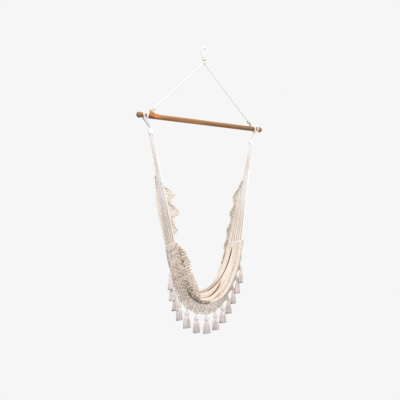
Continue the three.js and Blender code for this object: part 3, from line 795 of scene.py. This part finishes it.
def hitches(word, side):
    hem = hem_path(side)
    a = np.linspace(0, TURN, 20, endpoint=False)
    knots = Build()
    for i in range(FAN):
        axis = hem.tangent(hem_share(i))
        other = unit(np.cross(axis, [0, 1.0, 0]))
        ring = HITCH_ORBIT * turned(a, other, np.cross(axis, other))
        for shift in (-HITCH_STEP, HITCH_STEP):
            knots.tube(hem.at(hem_share(i)) + axis * shift + ring, HITCH_R, 6, closed=True)
    knots.make(f"hem_hitches_{word}", CORD, "seat")


def side_hem(word, side):
    """The rolled hem, kept clear of the rear selvedge."""
    rear_end = hem_path(side).at(0.0)
    line = resample(hem_path(side, HEM_OVERHANG).line, 0.006)
    line = line[norm(line - rear_end, axis=1) > 0.007]
    line = line[line[:, 1] < rear_end[1]]
    hem = Build()
    hem.tube(line, HEM_R * 0.92, 14, tone=0.5)
    hem.make(f"hem_{word}", CORD, "seat", [f"side_hem_{word}"])


for word, side in SIDES:
    harness_eye(word, side)
    whipping(word, side)
    hitches(word, side)
    side_hem(word, side)

# Seat cloth, gathered into long folds
PLEATS = 9
PLEAT_DEPTH = 0.0052
ROLL_DEPTH = 0.013
BELLY_DEPTH = 0.022
CLOTH_THICK = 0.0022
CLOTH_STEPS = (200, 180)
# Start along the cloth, place across it there, slope, reach, depth, how dark the painted shade inside it is,
# and how far the line bends aside where it starts
CREASES = ((0.47, 0.1745, 0.228, 0.51, 0.010, 1.2, 0.014), (0.53, 0.418, -0.76, 0.19, 0.005, 0.42, 0),
           (0.54, 0.735, -0.96, 0.13, 0.005, 0.3, 0), (0.54, 0.09, 0.1, 0.2, 0.004, 0.3, 0),
           (0.06, 0.30, 0.10, 0.40, -0.010, 0, 0), (0.05, 0.62, 0.06, 0.36, -0.011, 0, 0),
           (0.10, 0.82, 0.05, 0.30, -0.009, 0, 0))


def creases(u, v):
    """Depth of the single folds, and the painted shade inside them."""
    crease, tint = np.zeros_like(v), np.zeros_like(v)
    for start, at_start, slope, reach, deep, dark, bend in CREASES:
        line = at_start + slope * (u - start) - bend * ease((0.74 - u) / 0.1)
        window = np.clip((u - start) / 0.06, 0, 1) * np.clip((start + reach - u) / 0.08, 0, 1)
        crease = crease + deep * window * np.exp(-((v - line) / 0.026) ** 2)
        # Painted shade along each fold's line.
        inside = 2.0 * dark * window * np.exp(-((v - line) / 0.025) ** 2) - 0.1
        tint = np.maximum(tint, np.clip(inside, 0, 1))
    return crease, tint


def cloth_point(u, v):
    """Points for arrays u and v of one shape, the CAD's surface with finer folds, and the painted shade in
    the folds.
    """
    rear_u = REAR_HEM_SHARE + (1 - 2 * REAR_HEM_SHARE) * u
    rear, front = REAR.at(rear_u), FRONT.at(u)
    across = front - rear
    outward = units(np.cross(REAR.tangent(rear_u) + FRONT.tangent(u), across))
    gather = np.sin(math.pi * u) ** 0.8
    shift = 0.012 * smooth_noise(u * 9, 3) * np.sin(math.pi * v)
    roll = ROLL_DEPTH * np.sin(6 * math.pi * (v + shift))
    belly = BELLY_DEPTH * np.sin(math.pi * v)
    edge_free = np.minimum(1, 8 * np.minimum(v, 1 - v))
    # Finer pleats with narrow valleys, which drift and fade along the cloth
    drift = v + 0.010 * smooth_noise(u * 6, 5) + 0.004 * smooth_noise(u * 14 + v * 5, 9)
    pleat = np.abs(np.sin(PLEATS * math.pi * drift)) ** 0.7 - 0.6
    strength = 0.55 + 0.45 * smooth_noise(u * 5 + v * 8, 11)
    fine = -PLEAT_DEPTH * edge_free * pleat * np.clip(strength, 0.1, 1)
    crease, tint = creases(u, v)
    depth = gather * (roll + belly) + fine * (0.35 + 0.65 * gather) + crease
    return rear + across * v[..., None] + outward * depth[..., None], tint


uu, vv = np.meshgrid(*(np.linspace(0, 1, steps) for steps in CLOTH_STEPS), indexing="ij")
grid, painted_fold_shade = cloth_point(uu, vv)
cloth_length = norm(np.diff(grid, axis=0), axis=-1).sum(axis=0).mean()
cloth_width = norm(np.diff(grid, axis=1), axis=-1).sum(axis=1).mean()
cells = np.cross(grid[1:, :-1] - grid[:-1, :-1], grid[:-1, 1:] - grid[:-1, :-1])
cloth_area = float(norm(cells, axis=-1).sum())
# The cloth's tone is the painted shade in its folds.
cloth = Build()
cloth.sheet(grid, CLOTH_THICK, np.stack([uu * cloth_length, vv * cloth_width], axis=-1),
            tone=np.concatenate([painted_fold_shade.ravel()] * 2))
cloth_piece = cloth.make("woven_seat", CLOTH, "seat", ["seat_cloth"])

# Selvedges: a rolled edge with a thread wound round it; the rear one runs on up to the whippings
ROLL_R = 0.0042
ROLL_POINTS = 220
ROLL_SIDES = 12
ROLL_THREAD_R = 0.0007
ROLL_THREAD_ORBIT = 0.0046
ROLL_TURNS = 95
ROLL_THREAD_POINTS = 2600


def selvedge(word, edge, material, shading):
    """shading(line) darkens the roll where the photograph shows it dark."""
    line = edge.at(np.linspace(0.004, 0.996, ROLL_POINTS))
    shade = 0.15 - shading(line)
    known = np.linspace(0, 1, ROLL_POINTS)
    s = np.linspace(0, 1, ROLL_THREAD_POINTS)
    fat = ROLL_R + 0.0005 * smooth_noise(np.linspace(0, 60, ROLL_POINTS), 21)
    roll = Build()
    roll.tube(line, fat, ROLL_SIDES, tone=np.repeat(shade, ROLL_SIDES))
    t, n, b = frames_along(line)
    orbit = turned(TURN * ROLL_TURNS * s, read_at(s, known, n), read_at(s, known, b))
    roll.tube(read_at(s, known, line) + ROLL_THREAD_ORBIT * orbit, ROLL_THREAD_R, 4,
              tone=np.repeat(np.interp(s, known, shade), 4))
    roll.make(f"{word}_roll", material, "seat", [f"{word}_selvedge"])


edge_starts = []
for word, side in SIDES:
    top, down, across, sideways = harness_axes(side)
    edge_starts.append(top + down * (WHIP_LEN * 0.7) + across * 0.0135)
selvedge("rear", Path([edge_starts[0], *REAR.knots, edge_starts[1]]), EDGE,
         lambda line: 0.5 * np.exp(-((line[:, 2] + 1.42) / 0.10) ** 4) * (line[:, 0] < 0))
selvedge("front", FRONT, LACE,
         lambda line: 0.25 + 0.8 * ease((0.05 - line[:, 0]) / 0.1) * ease((-1.5 - line[:, 2]) / 0.15))

# Lace bands
NET_HALF = 0.0009
MESH_THREAD_R = 0.0019
MESH_THREAD_LIFT = 0.0018
MESH_WEAVE = 0.0012
ROW_WEAVE = 0.0003
FOOT_LOOP_R = 0.0008


def lace_surface(edge, foot, pitch, depth, bow, taper=0.0):
    """point(s, v, lift) from edge to foot, the number of scallops, and the band's width and length."""
    length = foot.length
    width = float(norm(edge.at(0.5) - foot.at(0.5)))
    whole = math.floor(length / (2 * pitch))
    span = whole * pitch / length

    def point(s, v, lift=0.0):
        s, v = np.asarray(s, float), np.asarray(v, float)
        u = 0.5 + span * (2 * s - 1)
        scallop = np.sin(math.pi * (u - 0.5) * length / pitch) ** 2
        reach = v * (1 - scallop * depth / width)
        if taper:
            reach = reach * (0.25 + 0.75 * ease(np.minimum(s, 1 - s) / taper))
        a, b = edge.at(u), foot.at(u)
        p = a + (b - a) * reach[..., None]
        p[..., 1] += bow * np.sin(math.pi * v)
        if np.any(lift):
            p = p + units(np.cross(edge.tangent(u), b - a)) * np.asarray(lift)[..., None]
        return p

    return point, 2 * whole, width, 2 * whole * pitch


# A filled mesh, and one with a hole: the corners above, the hole's above, and both again below
FILLED = [(0, 1, 2, 3), (7, 6, 5, 4)] + [(m, k, 4 + k, 4 + m) for k, m in pairs(4)]
HOLED = [face for k, m in pairs(4) for face in ((k, m, 4 + m, 4 + k), (12 + k, 12 + m, 8 + m, 8 + k),
                                                (4 + k, 4 + m, 12 + m, 12 + k), (m, k, 8 + k, 8 + m))]


def net(build, point, ripple, scallops, per, rows, wave):
    """Square meshes with holes; the meshes inside a diamond of each scallop stay filled."""
    columns = scallops * per
    for i in range(columns):
        for j in range(rows):
            mid = ((i + 0.5) / per) % 1 - 0.5
            inside = abs(mid) / 0.42 + abs((j + 0.5) / rows - 0.52) / 0.36 < 1
            hole = 0.0 if inside and wave.uniform() < 0.8 else wave.uniform(0.5, 0.68)
            corner_s = np.array([i, i + 1, i + 1, i]) / columns
            corner_v = np.array([j, j, j + 1, j + 1]) / rows
            mid_s, mid_v = corner_s[:2].sum() / 2, corner_v[1:3].sum() / 2
            s = np.concatenate([corner_s, mid_s + (corner_s - mid_s) * hole])
            v = np.concatenate([corner_v, mid_v + (corner_v - mid_v) * hole])
            lift = ripple(s, v)
            top, low = point(s, v, lift + NET_HALF), point(s, v, lift - NET_HALF)
            if not hole:
                top, low = top[:4], low[:4]
            build.add(np.vstack([top, low]), HOLED if hole else FILLED)


def lace_band(name, surface, pitch, cell, replaced, seed, material, relief_material):
    """Crocheted net with a solid diamond in each scallop, relief rows, and small loops at its foot."""
    point, scallops, width, length = surface
    per = round(pitch / cell)
    columns = scallops * per
    rows = round(width / cell)
    wave = np.random.default_rng(seed)
    relief = Build()

    def ripple(s, v):
        return 0.004 * v * np.sin(s * scallops * TURN + 0.6) + 0.002 * v * np.sin(s * 31 + 1.3)

    def thread(s, v, radius, weave=0.0, sides=5, lift=0.0):
        keep = (s >= 0) & (s <= 1)
        if keep.sum() < 3:
            return
        s, v = s[keep], v[keep]
        raised = ripple(s, v) + lift + weave * np.sin(np.arange(len(s)) * math.pi / 2 + wave.uniform(0, 3))
        relief.tube(point(s, v, raised), radius, sides)

    build = Build()
    net(build, point, ripple, scallops, per, rows, wave)
    steps = np.arange(0, rows * 2 + 1) / 2
    for i in range(-rows, columns + 1, 2):
        thread((i + steps) / columns, steps / rows, MESH_THREAD_R, MESH_WEAVE, lift=-MESH_THREAD_LIFT)
        thread((i + rows - steps) / columns, steps / rows, MESH_THREAD_R, -MESH_WEAVE, lift=-MESH_THREAD_LIFT)
    along = np.linspace(0, 1, columns * 3 + 1)
    for v, radius in ((0.07, 0.0015), (0.5, 0.0013), (0.985, 0.0020)):
        thread(along, np.full_like(along, v), radius, ROW_WEAVE)
    a = np.linspace(0, TURN, 9)
    for i in range(columns * 2):
        s = (i + 0.5) / (columns * 2) + 0.3 / columns * np.cos(a)
        thread(s, 0.995 + 0.028 * (0.076 / width) * np.sin(a), FOOT_LOOP_R, sides=4)
    piece = build.make(name, material, "seat", [replaced])
    relief.make(f"{name}_relief", relief_material, "seat")
    return piece


REAR_PITCH = REAR_FOOT.length / (2 * round(REAR_FOOT.length / 0.25)) * 0.999
front_surface = lace_surface(FRONT, FRONT_FOOT, TASSEL_PITCH, 0.007, 0)
rear_surface = lace_surface(REAR, REAR_FOOT, REAR_PITCH, 0.038, 0.016, 0.045)
front_lace = lace_band("front_net", front_surface, TASSEL_PITCH, 0.0150, "front_lace", 41, LACE, LACE_TOP)
rear_lace = lace_band("rear_net", rear_surface, REAR_PITCH, 0.0125, "rear_lace", 42, LACE_REAR, LACE_REAR)


# Crocheted fringes: long yarn loops that stand off an edge
def fringe(name, count, base_at, out_at, tall_at, wide, radius, material):
    """base_at(u) is a point on the edge, out_at(u) the way the loops stand, tall_at(u) their length."""
    a = np.linspace(-0.5 * math.pi, 1.5 * math.pi, 15)
    up = 0.5 + 0.5 * np.sin(a)
    out_wide = wide * np.cos(a) * (0.45 + 0.55 * up)
    rise = np.linspace(0, 0.8, 5)
    loops = Build()
    for i in range(count):
        u = (i + 0.5) / count
        base, out, tall = base_at(u), unit(out_at(u)), tall_at(u) * rng.uniform(0.72, 1.12)
        along = unit(base_at(min(u + 0.004, 1)) - base_at(max(u - 0.004, 0)))
        side = unit(np.cross(out, along))
        lean, twist = rng.uniform(-0.22, 0.22), rng.uniform(-0.8, 0.8)
        flat_way = along * math.cos(twist) + side * math.sin(twist)
        curl = rng.uniform(-0.003, 0.003)
        loop = (base + out * (up * tall)[:, None] + flat_way * out_wide[:, None]
                + along * (lean * tall * up)[:, None] + side * (curl * up)[:, None])
        loops.tube(loop, radius, 5)
        if tall > 0.014:
            stem = base + out * (rise * tall)[:, None] + along * (lean * tall * rise)[:, None]
            loops.tube(stem, radius * 0.9, 5)
    loops.make(name, material, "seat")


# A crocheted frill that stands up inside the front selvedge
RUFFLES = 64
FRILL_TALL = 0.017
FRILL_LEFT_TALL = 0.043
FRILL_RIGHT_TALL = 0.011
FRILL_THICK = 0.0013
FRILL_WAVE = 0.007


def frill_point(u, w):
    """A point at share u along the front edge and share w of the frill's height."""
    u, w = np.broadcast_arrays(np.asarray(u, float), np.asarray(w, float))
    base = FRONT.at(u)
    inward = np.cross(vec(0, -1, 0), FRONT.tangent(u))
    inward = inward * np.where((inward * (vec(0, 0, -1.05) - base)).sum(axis=-1) < 0, -1, 1)[..., None]
    inward = units(inward + vec(0, 0.1, 0))
    tall = FRILL_TALL + FRILL_LEFT_TALL * ease((0.46 - u) / 0.14) + FRILL_RIGHT_TALL * ease((u - 0.6) / 0.1)
    tall = tall * np.clip(0.05 + 8 * u, 0, 1)
    beat = TURN * (u * RUFFLES + 0.35 * smooth_noise(u * 40, 31))
    wave = FRILL_WAVE * np.sin(beat) * (0.6 + 0.4 * smooth_noise(u * 60, 33))
    sway = -0.004 + w * (0.2 + 0.8 * ease((0.6 - u) / 0.1)) * wave + 0.02 * w * ease((u - 0.5) / 0.2)
    rise = tall * w * (1 + 0.05 * np.sin(beat * 0.5))
    return base + inward * rise[..., None] + vec(0, 1, 0) * sway[..., None]


fu, fw = np.meshgrid(np.linspace(0.004, 0.996, RUFFLES * 8 + 1), np.linspace(0, 1, 13), indexing="ij")
# Painted shade on the frill: dark at the root on the left half, lighter on the right.
root = np.maximum(np.clip(1.4 - 2.0 * fw, 0, 1), ease((fu - 0.40) / 0.08))
frill_shade = (ease((0.535 - fu) / 0.06) * (0.45 + 0.55 * ease((fu - 0.16) / 0.14)) * root
               - 0.3 * ease((fu - 0.5) / 0.1))
frill = Build()
frill.sheet(frill_point(fu, fw), FRILL_THICK, tone=np.concatenate([frill_shade.ravel()] * 2))
frill.make("front_frill", FRILL, "seat")

# Rows of loops over the frill, painted shade making them dark at the root and light at the tip: place up
# the frill, start and end along it, length of the loops, material
LOOP_ROWS = ((0.04, 0.02, 0.25, 0.010, FRILL_HALF_SHADE), (0.04, 0.25, 0.51, 0.015, FRILL_ROOT_SHADE),
             (0.22, 0.02, 0.25, 0.011, FRILL_HALF_SHADE), (0.22, 0.25, 0.47, 0.016, FRILL_ROOT_SHADE),
             (0.40, 0.02, 0.44, 0.012, FRILL_HALF_SHADE), (0.58, 0.02, 0.43, 0.013, LACE_REAR),
             (0.78, 0.02, 0.43, 0.014, LACE_REAR), (0.96, 0.02, 0.42, 0.021, LACE_REAR),
             (0.6, 0.58, 0.985, 0.012, LACE_REAR))


def loop_row(name, height, start, end, tall, material):
    def at(u, w):
        return frill_point(start + (end - start) * u, w)

    fringe(name, round((end - start) * 250), lambda u: at(u, height) + vec(0, -0.001, 0),
           lambda u: at(u, 1.0) - at(u, 0.0) + vec(0, -0.012, 0),
           lambda u: tall * min(1, 0.4 + 6 * u), 0.0032, 0.0016, material)


for row, values in enumerate(LOOP_ROWS):
    loop_row(f"front_loops_{row + 1}", *values)

rear_point = rear_surface[0]
fringe("rear_fringe", round(REAR_FOOT.length / 0.0125), lambda u: rear_point(u, 0.95),
       lambda u: rear_point(u, 1.0) - rear_point(u, 0.9), lambda u: 0.022, 0.0034, 0.0019, LACE_REAR)

# Strands that run on over the cloth's outside from each hem, and a fringe at the hem
SIDE_STRANDS = 13
SIDE_STRAND_R = 0.0024
HEM_LOOPS = 40


def side_strands(word, side):
    hem = hem_path(side)
    runs = Build()
    for k in range(SIDE_STRANDS):
        v = 0.04 + 0.07 * k
        us = np.linspace(0.012, 0.10 + 0.08 * rng.uniform(), 16)
        vs = np.clip(v + 0.9 * (us - 0.012) + 0.012 * np.sin(us * 70 + 2 * k), 0.02, 0.98)
        line = cloth_point(us if side < 0 else 1 - us, vs)[0] + vec(side * 0.0085, -0.002, -0.004)
        line = np.vstack([hem.at(v) + vec(side * 0.0065, 0, 0.003), line])
        runs.tube(Path(line, 3).line, SIDE_STRAND_R, 6, tone=0.25 if k % 2 else -0.35)
    runs.make(f"side_strands_{word}", CORD, "seat")


def hem_fringe(word, side):
    hem, fall = hem_path(side), harness_axes(side)[1] + vec(side * 0.16, -0.1, 0)
    away = vec(side * 0.006, -0.001, 0.006)
    fringe(f"hem_fringe_{word}", HEM_LOOPS, lambda u: hem.at(0.03 + 0.94 * u) + away, lambda u: fall,
           lambda u: 0.014 + 0.036 * abs(math.sin(u * 61)), 0.0036, 0.0017, LACE_TOP)


for word, side in SIDES:
    side_strands(word, side)
    hem_fringe(word, side)

# Tassels: strands in three rings that swell at the head, draw in at the waist and spread in the skirt.
# Flatness and width by how far the tassel hangs from the middle one
TASSEL_FLAT = (0.62, 0.62, 0.6, 0.45, 0.36, 0.36, 0.4)
TASSEL_WIDE = (1, 1, 1, 0.93, 0.8, 0.78, 0.68)
STRAND_RINGS = ((1.0, 46, 0.00165), (0.66, 26, 0.0018), (0.3, 12, 0.0018))
STRAND_DROPS = [0.33 * WAIST_DROP, 0.45 * WAIST_DROP, 0.68 * WAIST_DROP, 0.88 * WAIST_DROP, WAIST_DROP,
                WAIST_DROP + 0.006, WAIST_DROP + 0.02, 0.6 * TASSEL_LEN, 0.8 * TASSEL_LEN]
STRAND_RADII = np.array([0.0042, 0.0112, 0.0150, 0.0136, 0.0086, 0.0104, 0.0178, 0.0216, 0.0240, 0.0252])
HANG_THREAD_R = 0.0011
TIE_BAND_R = 0.0108
TIE_LEN = 0.0085
TIE_THREAD_R = 0.0011


def tassel_place(rank):
    """Where a tassel swings from, and the point of the lace's foot that it hangs on."""
    share = 0.5 + rank * TASSEL_PITCH / FRONT_FOOT.length
    foot = FRONT_FOOT.at(share)
    along = FRONT_FOOT.tangent(share)
    away = foot - FRONT.at(share)
    away = unit(away - along * (away @ along))
    front = np.cross(away, along)
    front = -front if front[1] > 0 else front
    below = away * (TASSEL_EYE_R + GAP)
    step = below if abs(rank) <= 2 else front * (LACE_THICK / 2 + TASSEL_EYE_R + GAP)
    return foot + step, foot + 0.6 * step


def tassel_strand(body, centre, ring, a, thick, flat, wide):
    long = TASSEL_LEN * rng.uniform(0.955, 0.995)
    wander = rng.normal(0, 0.06, 2)
    drop = np.array(STRAND_DROPS + [long])
    radius = ring * wide * STRAND_RADII
    turn = a + 0.25 * np.sin(drop / TASSEL_LEN * 3 + wander[0] * 8) * 0.4
    spread = 1 + wander[1] * np.clip((drop - 0.05) / 0.07, 0, 1)
    line = np.stack([centre[0] + radius * np.cos(turn) * spread,
                     centre[1] + flat * radius * np.sin(turn) * spread, centre[2] - drop], axis=-1)
    line = Path(line, 3).line
    # The ends are darker, most on the left: painted shade.
    tip = ease(((centre[2] - line[:, 2]) / TASSEL_LEN - 0.84) / 0.15) * (0.35 - 0.75 * math.cos(a))
    body.tube(line, thick, 5, tone=np.repeat(rng.uniform(0, 1) - tip, 5))


def tassel(rank):
    number = f"{rank + 7:02d}"
    flat, wide = TASSEL_FLAT[abs(rank)], TASSEL_WIDE[abs(rank)]
    centre, hung_from = tassel_place(rank)
    body = Build()
    for ring, count, thick in STRAND_RINGS:
        for k in range(count):
            a = TURN * (k + 0.5 * ring) / count + rng.normal(0, 0.05)
            tassel_strand(body, centre, ring, a, thick, flat, wide)
    hang = np.array([centre - (0, 0, 0.34 * WAIST_DROP), centre - (0, 0, 0.004), centre, hung_from])
    for shift in (-0.0012, 0.0012):
        body.tube(Path(hang + (shift, 0, 0), 5).line, HANG_THREAD_R, 5)
    # The tassels on the right take the painted-shade yarn.
    body.make(f"tassel_strands_{number}", TASSEL_SHADE if rank > 2 else TASSEL, f"tassel_{number}",
              [f"tassel_{number}"])
    band = TIE_BAND_R * wide
    tie = Build()
    coil(tie, centre - vec(0, 0, WAIST_DROP), UP, band, TIE_LEN, 4, TIE_THREAD_R,
         flat=(band * flat + 0.0006) / band, across=vec(1, 0, 0))
    tie.make(f"tassel_wrap_{number}", TIE, f"tassel_{number}", [f"tassel_tie_{number}"])


for rank in range(-6, 7):
    tassel(rank)

# Light, and a pale background that only the camera sees
LIGHT_COLOR = (0.95, 0.97, 1.0, 1)
LIGHT_STRENGTH = 0.62
BACKDROP_COLOR = (0.921, 0.921, 0.921, 1)

scene.view_settings.view_transform = "Standard"
world = bpy.data.worlds.new("studio")
scene.world = world
world.use_nodes = True
tree = world.node_tree
tree.nodes.clear()
rays = add_node(tree, "LightPath").outputs
seen = add_node(tree, "Math", {0: rays["Is Camera Ray"], 1: rays["Is Transmission Ray"]}, operation="MAXIMUM")
light = add_node(tree, "Background", {"Color": LIGHT_COLOR, "Strength": LIGHT_STRENGTH})
backdrop = add_node(tree, "Background", {"Color": BACKDROP_COLOR, "Strength": 1.0})
mix = add_node(tree, "MixShader", {0: seen.outputs[0], 1: light.outputs[0], 2: backdrop.outputs[0]})
add_node(tree, "OutputWorld", {0: mix.outputs[0]})


def area_light(name, location, target, size, power, color=(1, 1, 1)):
    data = bpy.data.lights.new(name, "AREA")
    data.energy = power
    data.size = size
    data.color = color
    lamp = bpy.data.objects.new(name, data)
    scene.collection.objects.link(lamp)
    lamp.location = location
    lamp.rotation_euler = (Vector(target) - Vector(location)).to_track_quat("-Z", "Y").to_euler()


area_light("key", (-1.6, -2.6, 1.0), (0, 0, -1.1), 1.4, 95, (1, 0.98, 0.95))
area_light("fill", (2.4, -1.8, -0.6), (0, 0, -1.2), 2.0, 18)
area_light("top", (0.2, 0.4, 1.6), (0, 0, -1.0), 1.2, 14)
